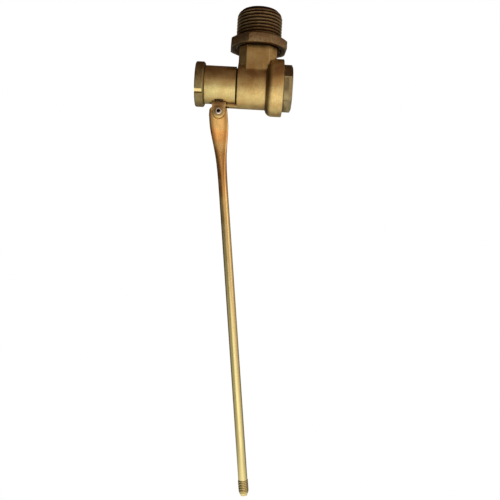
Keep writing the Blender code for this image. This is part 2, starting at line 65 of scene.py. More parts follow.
AXIS_Z = (barrel_low.z + barrel_high.z) / 2.0
BARREL_RADIUS = (barrel_high.z - barrel_low.z) / 2.0
RING_RADIUS = (ring_high.z - ring_low.z) / 2.0
BELL_RADIUS = body_high.y
PIVOT = (pin_low + pin_high) / 2.0
BODY_CENTRE = Vector((0.0, 0.0, AXIS_Z))
INLET_CENTRE = Vector((0.0, 0.0, 0.0))
AXIS_INDEX = {"X": 0, "Y": 1, "Z": 2}
AXIS_TURN = {
    "X": (0.0, math.radians(90.0), 0.0),
    "Y": (math.radians(-90.0), 0.0, 0.0),
    "Z": (0.0, 0.0, 0.0),
}
SMOOTH_ANGLE = math.radians(32.0)
ROUND_STEPS = 96
SMALL_STEPS = 64
HOLE_STEPS = 48
ROD_STEPS = 40
PIN_HOLE = 2.3 * MM
FLANK_ANGLE = math.radians(27.5)
SAME_SIZE = 0.0000001


def length(name, millimetres, description):
    return bpy.props.FloatProperty(
        name=name, description=description, default=millimetres * MM, unit="LENGTH", precision=5
    )


def angle(name, degrees, description):
    return bpy.props.FloatProperty(
        name=name, description=description, default=math.radians(degrees), unit="ROTATION"
    )


def amount(name, default, description):
    """A plain number that is never negative."""
    return bpy.props.FloatProperty(name=name, description=description, default=default, min=0.0)


def colour(name, default, description):
    return bpy.props.FloatVectorProperty(
        name=name, description=description, default=default, subtype="COLOR", size=3, min=0.0, max=1.0
    )


class InletSizes(bpy.types.PropertyGroup):
    thread_radius: length("Thread radius", 16.62, "Radius over the crests of the inlet thread")
    pitch: length("Pitch", 2.309, "Rise of the thread in one turn")
    depth: length("Depth", 1.42, "Depth of the thread's groove")
    chamfer: length("Chamfer", 3.0, "Rounded chamfer at the inlet's open end")
    bore: length("Bore", 12.0, "Radius of the inlet's bore")
    neck_width: length("Neck width", 27.5, "Width across the flats of the square neck")
    neck_corner: length("Neck corner", 5.6, "How far the neck's upright edges are cut off")
    neck_top: length("Neck top", -27.9, "Height of the neck's upper face")
    fillet: length("Fillet", 0.55, "Reach of the cast fillet where the neck meets the body")


class BodySizes(bpy.types.PropertyGroup):
    joint: length("Joint", -14.0, "Where the casting's left face stands along the body")
    centre_radius: length("Centre radius", 16.3, "Radius of the centre cylinder")
    bell_left: length("Bell's left", 7.0, "Where the bell rises from the centre cylinder")
    bell_right: length("Bell's right", 19.4, "Where the bell's right face stands")
    shoulder: length("Shoulder", 5.0, "Radius of the bell's rounded left shoulder")
    chamber: length("Chamber", 14.0, "Radius of the chamber inside")
    ear_radius: length("Ear radius", 4.9, "Radius of the two ears round the pin")
    ear_out: length("Ear outside", 5.0, "Distance of an ear's outer face from the middle")
    ear_in: length("Ear inside", 2.1, "Distance of an ear's inner face from the middle")
    tongue: length("Tongue", 3.4, "Half the width of the tongue under the barrel")


class BarrelSizes(bpy.types.PropertyGroup):
    bore: length("Bore", 11.2, "Radius of the barrel's bore")
    end_radius: length("End radius", 13.1, "Radius under the end ring")
    shoulder: length("Shoulder", -37.7, "Where the barrel steps down for the ring")
    groove: length("Groove", -14.8, "Left wall of the groove beside the casting")
    groove_depth: length("Groove depth", 1.1, "Depth of the groove beside the casting")
    ring_bore: length("Ring bore", 9.5, "Radius of the ring's mouth")
    notch_width: length("Notch width", 2.5, "Width of a spanner notch at its floor")
    notch_depth: length("Notch depth", 1.65, "Depth of a spanner notch")
    notch_length: length("Notch length", 5.6, "Length of a spanner notch")
    notch_flare: amount("Notch flare", 1.9, "How many times as wide a notch is at its mouth")
    notch_angle: angle("Notch angle", -31.0, "Turn of the notches from the body's front")


class PlugSizes(bpy.types.PropertyGroup):
    corner: length("Corner radius", 17.0, "Radius over the hexagon's corners")
    turn: angle("Turn", 44.0, "Turn of the hexagon about the body")
    hexagon_left: length("Hexagon's left", 19.7, "Where the hexagon starts")
    chamfer: length("Chamfer", 1.0, "Chamfer on the hexagon's outer corners")
    shank: length("Shank", 16.3, "Radius of the threaded shank")
    cup: length("Cup", 13.3, "Radius of the hollow inside")


class NutSizes(bpy.types.PropertyGroup):
    corner: length("Corner radius", 21.9, "Radius over the octagon's corners")
    turn: angle("Turn", 26.5, "Turn of the octagon about the inlet")
    chamfer: length("Chamfer", 1.6, "Chamfer on the upper corners")


class LeverSizes(bpy.types.PropertyGroup):
    reach: length("Length", 283.4, "From the pin to the rod's tip")
    tilt: angle("Tilt", 6.91, "Lean of the hanging lever")
    rod: length("Rod radius", 3.4, "Radius of the round rod")
    aside: length("Aside", -0.45, "How far the blade's middle line passes the pin")
    half_thickness: length("Half thickness", 1.8, "Half the thickness of the flat blade")
    thread: length("Thread radius", 3.75, "Radius over the crests of the rod's thread")
    thread_depth: length("Thread depth", 0.45, "Depth of the rod's worn thread")
    thread_length: length("Thread length", 11.8, "Length of the thread at the tip")
    tip: length("Tip radius", 2.6, "Radius of the tip's end")
    taper: length("Taper", 3.6, "Length of the tip's taper")
    arm: length("Nose arm", 13.0, "From the pin to the middle of the rounded nose")
    nose: length("Nose radius", 3.0, "Radius of the nose")
    lean: angle("Nose lean", 17.5, "Lean of the nose from upright")


class FinishColours(bpy.types.PropertyGroup):
    cast: colour("Cast brass", (0.745, 0.56, 0.255), "The cast body where it is cleaned")
    turned: colour("Turned brass", (0.70, 0.57, 0.27), "The barrel")
    ring: colour("Worn ring", (0.37, 0.30, 0.15), "The end ring's dull skin")
    plug: colour("Plug brass", (0.40, 0.33, 0.19), "The hexagon plug's dull skin")
    # Used as brown painted shade on the lug round the pin.
    lug_shade_brown: colour("Patina", (0.23, 0.115, 0.055), "Brown skin on the casting round the pin")
    thread: colour("Tarnished brass", (0.42, 0.31, 0.18), "Inlet thread and backnut")
    lever: colour("Blade brass", (1.0, 0.70, 0.30), "The lever's flattened blade")
    copper: colour("Copper tint", (0.95, 0.50, 0.17), "Heat tint across the blade")
    rod: colour("Rod brass", (0.82, 0.70, 0.36), "The lever's drawn rod")
    # Also painted as shade in corners and on the nut's underside.
    dirt_and_shade: colour("Dirt", (0.045, 0.022, 0.008), "Dirt and oxide in corners")
    steel: colour("Steel", (0.66, 0.61, 0.58), "The pin")


# ---- making shapes ----


def deselect():
    bpy.ops.object.select_all(action="DESELECT")


def only(obj):
    """Make obj the one selected and active object."""
    deselect()
    obj.select_set(True)
    bpy.context.view_layer.objects.active = obj
    return obj


def settle(obj, rotation=None, location=None):
    """Turn and shift obj where asked, and settle its place into its mesh."""
    only(obj)
    if rotation:
        obj.rotation_euler = rotation
    if location:
        obj.location = location
    bpy.ops.object.transform_apply(location=True, rotation=True, scale=True)
    return obj


def named(name):
    """Name the new active object and settle its place into its mesh."""
    obj = bpy.context.object
    obj.name = name
    obj.data.name = name
    return settle(obj)


def edit(obj):
    """Open obj's mesh for editing, with all of it selected."""
    only(obj)
    bpy.ops.object.mode_set(mode="EDIT")
    bpy.ops.mesh.select_all(action="SELECT")


def leave_edit():
    bpy.ops.object.mode_set(mode="OBJECT")


def close_up(obj):
    """Merge doubled points and turn every face outwards."""
    edit(obj)
    bpy.ops.mesh.remove_doubles(threshold=0.002 * MM)
    bpy.ops.mesh.normals_make_consistent(inside=False)
    leave_edit()
    return obj


def turned(name, outline, axis="X", centre=BODY_CENTRE, solid=True, steps=ROUND_STEPS):
    """A circle drawn out along an axis, a loop for each (radius, place) of the outline.

    A solid piece is capped at both ends. Any other outline comes back to its first point.
    """
    index = AXIS_INDEX[axis]
    radius, place = outline[0]
    middle = Vector(centre)
    middle[index] = place
    deselect()
    bpy.ops.mesh.primitive_circle_add(
        vertices=steps, radius=radius, fill_type="NGON" if solid else "NOTHING", location=middle,
        rotation=AXIS_TURN[axis],
    )
    obj = named(name)
    edit(obj)
    for next_radius, next_place in outline[1:] + ([] if solid else outline[:1]):
        shift = Vector((0.0, 0.0, 0.0))
        shift[index] = next_place - place
        bpy.ops.mesh.extrude_region_move(TRANSFORM_OT_translate={"value": shift})
        middle[index] = next_place
        if abs(next_radius - radius) > SAME_SIZE:
            stretch = Vector([next_radius / radius] * 3)
            stretch[index] = 1.0
            bpy.ops.transform.resize(value=stretch, center_override=middle)
        radius, place = next_radius, next_place
    leave_edit()
    return close_up(obj)


def mirrored(outline):
    """An outline followed by its mirror image on the far side of place 0."""
    return outline + [(radius, -place) for radius, place in reversed(outline)]


def rounded(outline, corner, radius, steps=3):
    """Replace one corner of an outline by a short arc of points."""
    before, point, after = (Vector(outline[corner + i]) for i in (-1, 0, 1))
    entry = point + (before - point).normalized() * radius
    leave = point + (after - point).normalized() * radius
    arc = []
    for i in range(steps + 1):
        t = i / steps
        arc.append(tuple(entry * (1 - t) ** 2 + point * (2 * t * (1 - t)) + leave * t ** 2))
    return outline[:corner] + arc + outline[corner + 1:]


def soften(outline, corners):
    """Round several corners of an outline, given as {index: radius}."""
    for corner in sorted(corners, reverse=True):
        outline = rounded(outline, corner, corners[corner])
    return outline


def block(name, low, high):
    """A box between two corners."""
    low, high = Vector(low), Vector(high)
    deselect()
    bpy.ops.mesh.primitive_cube_add(size=1.0, location=(low + high) / 2.0, scale=high - low)
    return named(name)


def bevel_edges(obj, test, width, segments=2):
    """Bevel the edges that pass a test of (start, end)."""
    edit(obj)
    bpy.ops.mesh.select_mode(type="EDGE")
    bpy.ops.mesh.select_all(action="DESELECT")
    shape = bmesh.from_edit_mesh(obj.data)
    for edge in shape.edges:
        edge.select_set(test(edge.verts[0].co, edge.verts[1].co))
    bmesh.update_edit_mesh(obj.data)
    bpy.ops.mesh.bevel(offset=width, segments=segments, affect="EDGES")
    leave_edit()
    return obj


def upright(start, end):
    """Tell whether an edge of a block stands upright."""
    return abs(start.z - end.z) > 5.0 * MM


def soft_edges(obj, width, limit):
    """Bevel every edge that turns by more than the limit in degrees and keep the result."""
    only(obj)
    modifier = obj.modifiers.new("edges", "BEVEL")
    modifier.width = width
    modifier.segments = 2
    modifier.limit_method = "ANGLE"
    modifier.angle_limit = math.radians(limit)
    bpy.ops.object.modifier_apply(modifier=modifier.name)


def combine(obj, other, operation):
    """Join, cut or trim obj with another shape, which is used up."""
    only(obj)
    modifier = obj.modifiers.new(other.name, "BOOLEAN")
    modifier.operation = operation
    modifier.object = other
    modifier.solver = "EXACT"
    bpy.ops.object.modifier_apply(modifier=modifier.name)
    bpy.data.objects.remove(other, do_unlink=True)
    if not obj.data.polygons:
        raise RuntimeError("nothing was left of %s" % obj.name)
    return obj


def join(obj, *others):
    for other in others:
        combine(obj, other, "UNION")
    return obj


def cut(obj, *others):
    for other in others:
        combine(obj, other, "DIFFERENCE")
    return obj


def helix(name, root, crest, pitch, low, high, width, steps=ROUND_STEPS):
    """A thread's ridge: a small section swept round the Z axis by a screw."""
    deselect()
    foot = root - 0.2 * MM
    flank = width / 2.0
    top = flank - (crest - foot) * math.tan(FLANK_ANGLE)
    edge = 0.16 * (crest - root)
    section = mirrored([
        (foot, -flank), (crest - edge, -top), (crest - 0.25 * edge, -0.55 * top), (crest, -0.15 * top),
    ])
    corners = len(section)
    bpy.ops.mesh.primitive_circle_add(
        vertices=corners, radius=flank, location=(0.0, 0.0, low), rotation=AXIS_TURN["Y"]
    )
    obj = named(name)
    for vertex, (radius, rise) in zip(obj.data.vertices, section):
        vertex.co = (radius, 0.0, low + rise)
    screw = obj.modifiers.new("sweep", "SCREW")
    screw.axis = "Z"
    screw.iterations = math.ceil((high - low) / pitch)
    screw.screw_offset = pitch
    screw.steps = steps
    screw.render_steps = steps
    bpy.ops.object.modifier_apply(modifier=screw.name)
    edit(obj)
    bpy.ops.mesh.fill_holes(sides=corners)
    leave_edit()
    return close_up(obj)


def finish_piece(obj, body, replaced, slot, *materials):
    """Shade a piece, dress it and tie it to the frame in place of one of its nodes."""
    only(obj)
    bpy.ops.object.shade_smooth_by_angle(angle=SMOOTH_ANGLE)
    obj.data.materials.clear()
    for material in materials:
        obj.data.materials.append(material)
    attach(obj, body)
    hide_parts(replaced)


def paint_faces(obj, slot, test):
    """Give a material slot to the faces whose middle and normal pass a test."""
    for face in obj.data.polygons:
        if test(face.center, face.normal):
            face.material_index = slot


def from_axis(point):
    """Distance of a point from the body's axis."""
    return math.hypot(point.y, point.z - AXIS_Z)


# ---- finishes ----


def feed(tree, socket, value):
    """Link a socket's value, or write it in."""
    if isinstance(value, bpy.types.NodeSocket):
        tree.links.new(value, socket)
    else:
        socket.default_value = value


def node(tree, kind, settings=None, sockets=None):
    """Add a shader node of a kind, set it, and fill or link its inputs."""
    made = tree.nodes.new("ShaderNode" + kind)
    for name, value in (settings or {}).items():
        setattr(made, name, value)
    for name, value in (sockets or {}).items():
        feed(tree, made.inputs[name], value)
    return made


def maths(tree, operation, first, second=0.0, clamp=False):
    return node(tree, "Math", {"operation": operation, "use_clamp": clamp}, {0: first, 1: second}).outputs[0]


def times(tree, first, second):
    return maths(tree, "MULTIPLY", first, second)


def plus(tree, first, second, clamp=False):
    return maths(tree, "ADD", first, second, clamp)


def remap(tree, value, low, high, new_low=0.0, new_high=1.0, smooth=True):
    sockets = {"Value": value, 1: low, 2: high, 3: new_low, 4: new_high}
    kind = "SMOOTHSTEP" if smooth else "LINEAR"
    return node(tree, "MapRange", {"interpolation_type": kind, "clamp": True}, sockets).outputs[0]


def blend(tree, factor, first, second, mode="MIX"):
    made = node(tree, "Mix", {"data_type": "RGBA", "blend_type": mode}, {0: factor})
    for index, value in ((6, first), (7, second)):
        is_link = isinstance(value, bpy.types.NodeSocket)
        feed(tree, made.inputs[index], value if is_link else (*tuple(value)[:3], 1.0))
    return made.outputs[2]


def noise(tree, where, scale, detail=3.0, roughness=0.55, stretch=None, turn=None):
    """Fractal noise on the piece's own place, drawn out along an axis by stretch."""
    if stretch or turn:
        sockets = {"Vector": where, "Scale": stretch or (1.0, 1.0, 1.0), "Rotation": turn or (0.0, 0.0, 0.0)}
        where = node(tree, "Mapping", None, sockets).outputs[0]
    sockets = {"Vector": where, "Scale": scale, "Detail": detail, "Roughness": roughness}
    return node(tree, "TexNoise", None, sockets).outputs["Fac"]


def scaled(values, factor):
    return tuple(min(1.0, v * factor) for v in values)


def new_material(name, blank=False):
    """A node material, its tree and the piece's own coordinates."""
    material = bpy.data.materials.new(name)
    material.use_nodes = True
    tree = material.node_tree
    if blank:
        tree.nodes.clear()
    return material, tree, node(tree, "TexCoord").outputs["Object"]


def metal(
    dirt_and_shade, name, base, rough, streak, streak_scale, streak_depth, blotch, speckle, bump, crevice, dirt_and_shade_amount,
    turn=None, pits=0.0, extra=None,
):
    """A worked metal: uneven tone, tool streaks, fine speckle, and dirt with painted shade in corners within
    a reach in mm.
    """
    material, tree, where = new_material(name)
    shader = tree.nodes["Principled BSDF"]
    tone = remap(tree, noise(tree, where, 130.0, 4.0), 0.3, 0.7)
    lines = remap(tree, noise(tree, where, streak_scale, 4.0, 0.6, streak, turn), 0.25, 0.75)
    grain = remap(tree, noise(tree, where, 1900.0, 2.0, 0.6), 0.25, 0.75)
    warm = tuple(value * (1.0 - fade * blotch) for value, fade in zip(base, (0.35, 0.6, 0.75)))
    paint = blend(tree, tone, warm, scaled(base, 1.05))
    value = plus(tree, times(tree, lines, streak_depth), times(tree, grain, speckle))
    value = plus(tree, value, 1.0 - (streak_depth + speckle) * 0.5)
    grey = node(tree, "CombineColor", None, {0: value, 1: value, 2: value}).outputs[0]
    paint = blend(tree, 1.0, paint, grey, "MULTIPLY")
    roughness = plus(tree, rough - 0.06, times(tree, tone, 0.12))
    height = plus(tree, times(tree, lines, 0.6), times(tree, grain, 0.4))
    if pits:
        hollow = remap(tree, noise(tree, where, 700.0, 3.0, 0.6), 0.3, 0.62)
        height = plus(tree, height, times(tree, hollow, pits))
        soiled = maths(tree, "SUBTRACT", 0.35, times(tree, hollow, 0.35))
        paint = blend(tree, soiled, paint, dirt_and_shade)
    if extra:
        paint, roughness = extra(tree, where, paint, roughness)
    # Ambient occlusion lays the dirt colour into corners: real dirt and painted shade together.
    openness = node(tree, "AmbientOcclusion", {"samples": 6}, {"Distance": crevice * MM}).outputs["AO"]
    corner_dirt_and_shade = remap(tree, plus(tree, openness, times(tree, tone, 0.12)), 0.95, 0.45, 0.0, dirt_and_shade_amount)
    paint = blend(tree, corner_dirt_and_shade, paint, dirt_and_shade)
    roughness = plus(tree, roughness, times(tree, corner_dirt_and_shade, 0.25), True)
    tree.links.new(paint, shader.inputs["Base Color"])
    tree.links.new(roughness, shader.inputs["Roughness"])
    shader.inputs["Metallic"].default_value = 1.0
    bumps = node(tree, "Bump", None, {"Strength": bump, "Distance": 0.2 * MM, "Height": height})
    tree.links.new(bumps.outputs[0], shader.inputs["Normal"])
    return material


def axes(tree, where):
    """The X, Y and Z parts of a place."""
    return node(tree, "SeparateXYZ", None, {0: where}).outputs


def upright_radius(tree, where):
    """Distance from the Z axis."""
    parts = axes(tree, where)
    flat = node(tree, "CombineXYZ", None, {0: parts[0], 1: parts[1]}).outputs[0]
    return node(tree, "VectorMath", {"operation": "LENGTH"}, {0: flat}).outputs["Value"]


def thread_wear(root, crest, groove, worn):
    """Dark grooves and worn crests by distance from the thread's own axis."""
    def extra(tree, where, paint, roughness):
        high = remap(tree, upright_radius(tree, where), root, crest)
        patchy = times(tree, high, remap(tree, noise(tree, where, 240.0, 3.0), 0.25, 0.6, 0.45, 1.0))
        paint = blend(tree, maths(tree, "SUBTRACT", 1.0, high), paint, groove)
        paint = blend(tree, times(tree, patchy, 0.6), paint, worn)
        return paint, maths(tree, "SUBTRACT", plus(tree, roughness, 0.1), times(tree, high, 0.12))
    return extra


def lug_shade_and_shoulder_band(place, reach, half_width, bell_left, tone, dirt_and_shade):
    """Brown painted shade on the lug round a place, and a dark band along the foot of the bell's shoulder."""
    def extra(tree, where, paint, roughness):
        gap = node(tree, "VectorMath", {"operation": "DISTANCE"}, {0: where, 1: place}).outputs["Value"]
        parts = axes(tree, where)
        across = maths(tree, "ABSOLUTE", parts[1])
        patchy = noise(tree, where, 260.0, 3.0)
        ragged = times(tree, patchy, 0.4 * reach)
        # Painted shade: the lug's face turns brown round the pin.
        near = remap(tree, plus(tree, gap, ragged), 0.9 * reach, 1.4 * reach, 0.85, 0.0)
        near = times(tree, near, remap(tree, across, half_width, half_width + 0.4 * MM, 1.0, 0.0))
        paint = blend(tree, near, paint, tone)
        along = plus(tree, parts[0], times(tree, patchy, 0.8 * MM))
        foot = times(
            tree, remap(tree, along, bell_left - 0.4 * MM, bell_left + 0.5 * MM),
            remap(tree, along, bell_left + 1.6 * MM, bell_left + 4.2 * MM, 0.72, 0.0),
        )
        return blend(tree, foot, paint, dirt_and_shade), roughness
    return extra


def painted_shade_below(height, reach, tone):
    """Painted shade on the face that looks down, within a reach of the inlet's axis."""
    def extra(tree, where, paint, roughness):
        parts = axes(tree, where)
        # Painted shade on the nut's underside, within the reach of the inlet's axis.
        low = remap(tree, parts[2], height, height + 0.2 * MM, 0.9, 0.0)
        near = remap(tree, upright_radius(tree, where), reach, reach + 0.8 * MM, 1.0, 0.0)
        return blend(tree, times(tree, low, near), paint, tone), roughness
    return extra


def lever_tones(copper, drawn):
    """A copper tint across the blade's middle, a darker band of it lower down, and a paler drawn rod below,
    with the streaks kept.
    """
    def extra(tree, where, paint, roughness):
        height = axes(tree, where)[2]
        wavy = plus(tree, height, times(tree, noise(tree, where, 180.0, 3.0), 5.0 * MM))
        top = remap(tree, wavy, -83.0 * MM, -88.0 * MM)
        foot = remap(tree, wavy, -98.0 * MM, -92.0 * MM)
        paint = blend(tree, times(tree, times(tree, top, foot), 0.75), paint, copper)
        # A darker copy of the tint lower on the blade: the blade darkens downward.
        top = remap(tree, wavy, -95.0 * MM, -104.0 * MM)
        foot = remap(tree, height, -140.0 * MM, -120.0 * MM)
        paint = blend(tree, times(tree, times(tree, top, foot), 0.75), paint, scaled(copper, 0.62))
        pale = times(tree, remap(tree, height, -125.0 * MM, -165.0 * MM), 0.85)
        return blend(tree, pale, paint, drawn), roughness
    return extra


FINISHES = {}


def make_finishes(scene):
    """Fill FINISHES with the valve's metals.

    Each row holds the material's name, base colour and roughness, then the streaks' stretch, scale and
    depth, the blotch, the speckle, the bump, the reach of the dirt and painted shade in corners in mm, and
    its strength.
    """
    colours, inlet = scene.valve_colours, scene.valve_inlet
    dirt_and_shade, cast, sleeve = tuple(colours.dirt_and_shade), tuple(colours.cast), tuple(colours.turned)
    dark, blade = tuple(colours.thread), tuple(colours.lever)
    even, fine, crest = (1, 1, 1), (1, 0.3, 0.3), inlet.thread_radius
    rows = {
        "cast": ("cast_brass", cast, 0.42, (14, 1, 1), 260, 0.22, 0.5, 0.26, 0.4, 3.4, 1),
        "neck": ("neck_brass", scaled(cast, 0.82), 0.46, (1, 1, 0.25), 420, 0.2, 0.5, 0.2, 0.3, 2.2, 0.85),
        "thread": ("tarnished_thread", dark, 0.45, (1, 1, 6), 300, 0.3, 0.4, 0.2, 0.3, 1.2, 0.7),
        "nut": ("tarnished_nut", dark, 0.48, even, 500, 0.25, 0.4, 0.25, 0.6, 1.5, 0.7),
        "turned": ("turned_brass", sleeve, 0.38, (22, 1, 1), 240, 0.22, 0.4, 0.25, 0.35, 1, 0.8),
        "ring": ("worn_ring", colours.ring, 0.5, (1, 0.4, 0.4), 420, 0.25, 0.4, 0.3, 0.35, 1.4, 0.85),
        "milled": ("milled_notch", scaled(sleeve, 1.1), 0.34, fine, 500, 0.15, 0.2, 0.15, 0.2, 0.8, 0.8),
        "plug": ("plug_brass", colours.plug, 0.5, fine, 500, 0.25, 0.4, 0.2, 0.3, 1.4, 0.8),
        "lever": ("drawn_brass", blade, 0.25, (30, 30, 0.8), 60, 0.12, 0.2, 0.04, 0.03, 1, 0.6),
        "steel": ("bright_steel", colours.steel, 0.24, (1, 12, 1), 400, 0.15, 0.1, 0.1, 0.15, 0.8, 0.7),
        # Near-black painted shade for the groove beside the joint and the casting's left face there.
        "joint_shade": ("painted_shade_joint", (0.10, 0.06, 0.03), 0.6, even, 400, 0.3, 0.3, 0.3, 0.3, 1.5, 0.8),
        # Near-black painted shade inside the pin's bore.
        "bore": ("painted_shade_bore", (0.03, 0.022, 0.018), 0.7, even, 400, 0.2, 0.2, 0.2, 0.2, 1, 0.5),
        "inside": (
            "inside_brass", scaled(sleeve, 0.85), 0.42, (18, 1, 1), 300, 0.25, 0.4, 0.2, 0.3, 1.2, 0.8,
        ),
    }
    lug = PIVOT + Vector((0.0, 0.0, 7.0 * MM))
    bell_left = scene.valve_body.bell_left
    extras = {
        "cast": {"extra": lug_shade_and_shoulder_band(lug, 7.1 * MM, 5.2 * MM, bell_left, colours.lug_shade_brown, scaled(dirt_and_shade, 2.0))},
        "thread": {"extra": thread_wear(crest - inlet.depth, crest, dirt_and_shade, scaled(dark, 2.3))},
        "nut": {"pits": 0.5, "extra": painted_shade_below(nut_low.z + 0.12 * MM, 19.2 * MM, dirt_and_shade)},
        "lever": {
            "turn": (0.0, -scene.valve_lever.tilt, 0.0), "extra": lever_tones(colours.copper, colours.rod),
        },
    }
    for key, row in rows.items():
        FINISHES[key] = metal(dirt_and_shade, *row, **extras.get(key, {}))


def soft_stuff(name, first, second, rough, scale):
    """A dull seal: mottled colour, grain and a little bump."""
    material, tree, where = new_material(name)
    shader = tree.nodes["Principled BSDF"]
    mottle = remap(tree, noise(tree, where, scale, 4.0), 0.3, 0.7)
    grain = noise(tree, where, scale * 8.0, 2.0)
    paint = blend(tree, mottle, first, second)
    tree.links.new(paint, shader.inputs["Base Color"])
    tree.links.new(plus(tree, times(tree, grain, 0.2), rough - 0.1), shader.inputs["Roughness"])
    bumps = node(tree, "Bump", None, {"Strength": 0.3, "Distance": 0.1 * MM, "Height": grain})
    tree.links.new(bumps.outputs[0], shader.inputs["Normal"])
    return material


# ---- the casting ----


def bell_outline(sizes):
    """(radius, place) along the body from the bell's right face to the joint."""
    edge = 0.7 * MM
    corner = sizes.bell_left + sizes.shoulder
    inner = BELL_RADIUS - sizes.shoulder
    right = sizes.bell_right
    points = [
        (BELL_RADIUS - edge, right), (BELL_RADIUS - 0.25 * edge, right - 0.25 * edge),
        (BELL_RADIUS, right - edge),
    ]
    arc_steps = 16
    for i in range(arc_steps + 1):
        turn = math.radians(90.0) * i / arc_steps
        radius = inner + sizes.shoulder * math.cos(turn)
        if radius > sizes.centre_radius + 0.25 * MM:
            points.append((radius, corner - sizes.shoulder * math.sin(turn)))
    points.append((sizes.centre_radius + 0.08 * MM, sizes.bell_left - 0.15 * MM))
    points.append((sizes.centre_radius, sizes.bell_left - 0.6 * MM))
    left, lip = sizes.joint, 0.9 * MM
    points += [(sizes.centre_radius, left + lip), (sizes.centre_radius - 0.28 * lip, left + 0.28 * lip)]
    points.append((sizes.centre_radius - lip, left))
    return points


def skin_gap(point, sizes):
    """Distance of a point from the body's turned skin, negative inside."""
    across = from_axis(point)
    corner = sizes.bell_left + sizes.shoulder
    inner = BELL_RADIUS - sizes.shoulder
    if point.x < corner:
        bell = math.hypot(corner - point.x, max(across - inner, 0.0)) - sizes.shoulder
    else:
        bell = across - BELL_RADIUS
    return min(across - sizes.centre_radius, bell)


def flare(point, outward, reach, sizes):
    """How far a point of the neck moves outward to lie on the fillet between neck and body."""
    low, high = 0.0, reach * 1.2
    for _ in range(24):
        middle = (low + high) / 2.0
        gap = skin_gap(point + outward * middle, sizes)
        near = max(reach - abs(middle - gap), 0.0)
        if min(middle, gap) - near * near / (4.0 * reach) < 0.0:
            low = middle
        else:
            high = middle
    return low


def neck(inlet, sizes):
    """The square neck with cut corners, flared at its foot into the turned body."""
    half = inlet.neck_width / 2.0
    shape = block("neck", (-half, -half, AXIS_Z + 2.0 * MM), (half, half, inlet.neck_top))
    bevel_edges(shape, upright, inlet.neck_corner, 1)
    bevel_edges(shape, upright, 0.35 * MM)
    bevel_edges(shape, lambda a, b: min(a.z, b.z) > inlet.neck_top - 0.1 * MM, 0.4 * MM)
    edit(shape)
    rows, first_row, row_step = 56, 4.0, 0.36
    columns, column_step = 9, 0.95
    cuts = [((0.0, 0.0, AXIS_Z + (first_row + row_step * i) * MM), (0.0, 0.0, 1.0)) for i in range(rows)]
    for i in range(-columns, columns + 1):
        for normal in ((1.0, 0.0, 0.0), (0.0, 1.0, 0.0)):
            cuts.append((Vector(normal) * (i * column_step * MM), normal))
    for place, normal in cuts:
        bpy.ops.mesh.select_all(action="SELECT")
        bpy.ops.mesh.bisect(plane_co=place, plane_no=normal)
    grid = bmesh.from_edit_mesh(shape.data)
    moves = []
    for vertex in grid.verts:
        out = Vector((vertex.normal.x, vertex.normal.y, 0.0))
        if vertex.co.z > inlet.neck_top - 1.0 * MM or out.length < 0.5:
            continue
        out.normalize()
        if skin_gap(vertex.co, sizes) < inlet.fillet:
            push = flare(vertex.co, out, inlet.fillet, sizes)
            landed = vertex.co + out * push
            landed.x = max(landed.x, sizes.joint + 0.05 * MM)
            if push < inlet.fillet * 1.15:
                moves.append((vertex, landed))
    for vertex, landed in moves:
        vertex.co = landed
    bmesh.update_edit_mesh(shape.data)
    leave_edit()
    return shape


def inlet_thread(inlet):
    """The inlet's core, which steps in below the neck's top, and the ridge wound round it."""
    crest, chamfer, top = inlet.thread_radius, inlet.chamfer, inlet.neck_top
    root, wide = crest - inlet.depth, crest + 0.05 * MM
    inner = inlet.neck_width / 2.0 - 0.3 * MM
    core = turned(
        "inlet_core",
        [
            (root - 1.5 * MM, 0.0), (root - 0.4 * MM, -1.2 * MM), (root, -2.6 * MM), (root, top + 0.05 * MM),
            (inner, top + 0.05 * MM), (inner, top - 3.0 * MM),
        ],
        "Z", INLET_CENTRE,
    )
    ridge = helix("inlet_ridge", root, crest, inlet.pitch, top + 0.2 * MM, -0.2 * inlet.pitch, 1.95 * MM)
    trim = turned(
        "thread_trim",
        [
            (crest - chamfer, 0.0), (crest - 0.4 * chamfer, -0.55 * chamfer),
            (crest - 0.12 * chamfer, -1.1 * chamfer), (wide, -1.7 * chamfer), (wide, top + 0.9 * MM),
            (root - 0.2 * MM, top + 0.1 * MM),
        ],
        "Z", INLET_CENTRE, steps=SMALL_STEPS,
    )
    return core, combine(ridge, trim, "INTERSECT")


def lugs(sizes):
    """The tongue under the barrel, and the lug and round ears that hang from it."""
    bottom = AXIS_Z - 16.0 * MM
    ear, out = sizes.ear_radius, sizes.ear_out
    tongue = block(
        "tongue", (PIVOT.x, -sizes.tongue, bottom), (sizes.joint + 3.0 * MM, sizes.tongue, AXIS_Z - 13.0 * MM)
    )
    bevel_edges(
        tongue, lambda a, b: max(a.z, b.z) < bottom + 0.1 * MM and abs(a.x - b.x) > 2.0 * MM, 0.5 * MM
    )
    lug = block(
        "lug", (PIVOT.x - ear - 0.3 * MM, -out, bottom - 0.3 * MM),
        (PIVOT.x + ear + 0.5 * MM, out, AXIS_Z - 11.0 * MM),
    )
    bevel_edges(lug, lambda a, b: max(a.z, b.z) < bottom or abs(a.z - b.z) > 1.0 * MM, 0.6 * MM)
    rim = [
        (ear - 1.3 * MM, -out + 0.02 * MM), (ear - 0.5 * MM, -out + 0.25 * MM),
        (ear - 0.1 * MM, -out + 0.62 * MM), (ear, -out + 1.0 * MM),
    ]
    ears = turned("ears", mirrored(rim), "Y", PIVOT, steps=56)
    flat = out - 0.03 * MM
    cheek = block("cheek", (PIVOT.x - ear, -flat, PIVOT.z), (PIVOT.x + ear, flat, bottom + 1.0 * MM))
    return tongue, lug, ears, cheek


def pin_hole(reach):
    """A cutter for the pin's hole that reaches as far to the front as to the back."""
    return turned("pin_hole", [(PIN_HOLE, -reach), (PIN_HOLE, reach)], "Y", PIVOT, steps=HOLE_STEPS)


